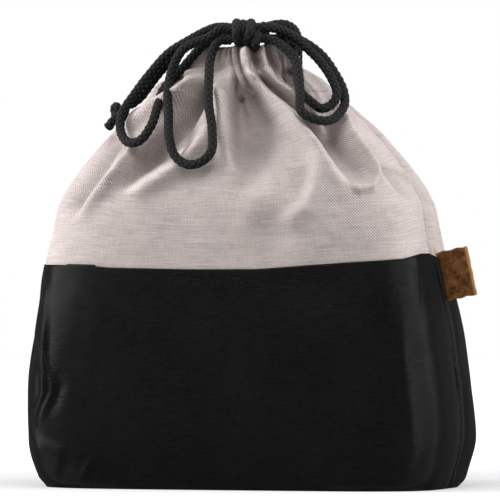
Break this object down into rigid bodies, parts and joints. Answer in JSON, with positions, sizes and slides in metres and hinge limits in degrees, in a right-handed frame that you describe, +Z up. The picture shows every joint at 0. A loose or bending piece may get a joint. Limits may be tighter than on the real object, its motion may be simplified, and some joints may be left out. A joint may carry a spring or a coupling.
{
  "type": "lunch bag",
  "caption": "Gathered canvas lunch pouch with a coated cloth lower half, closed by two drawcords tied in a bow, with a leather tag in the side seam.",
  "frame": {"origin": "centre of the flat underside, on the surface that the bag stands on", "axes": "+Z is up, the front with the bow faces -Y, and the tag stands out of the +X side seam"},
  "size_m": [0.2221, 0.1144, 0.2339],
  "materials": {
    "canvas": "washed cotton canvas, pinkish light grey, matte, visible weave with a few dark flecks",
    "coated_cloth": "black coated cloth, fine weave, soft semi-matte sheen",
    "seam_tape": "grey cotton binding tape, matte",
    "cord": "black braided cotton cord, matte",
    "tag_leather": "brown suede leather, paler cut edges"
  },
  "bodies": {
    "bag": {"canvas_front_panel": "canvas", "canvas_back_panel": "canvas", "coated_front_panel": "coated_cloth", "coated_back_panel": "coated_cloth", "base_panel": "coated_cloth", "tunnel_front_facing": "canvas", "tunnel_back_facing": "canvas", "base_seam_tape": "seam_tape", "middle_seam_tape": "seam_tape", "left_side_tape": "seam_tape", "right_side_tape": "seam_tape", "left_drawcord": "cord", "right_drawcord": "cord", "bow_knot": "cord", "left_outer_loop": "cord", "left_inner_loop": "cord", "right_outer_loop": "cord", "right_inner_loop": "cord", "left_tail": "cord", "right_tail": "cord", "left_stopper_knot": "cord", "left_cut_end": "cord", "right_stopper_knot": "cord", "right_cut_end": "cord"},
    "tag": {"side_tag": "tag_leather"}
  },
  "joints": [
    {"name": "tag_fold", "type": "hinge", "parent": "bag", "child": "tag", "pos_m": [0.09871, 0.006, 0.1055], "axis": [-0.2147, 0, 0.9767], "range_deg": [-80, 80], "stiffness_Nm_per_rad": 0.002}
  ]
}
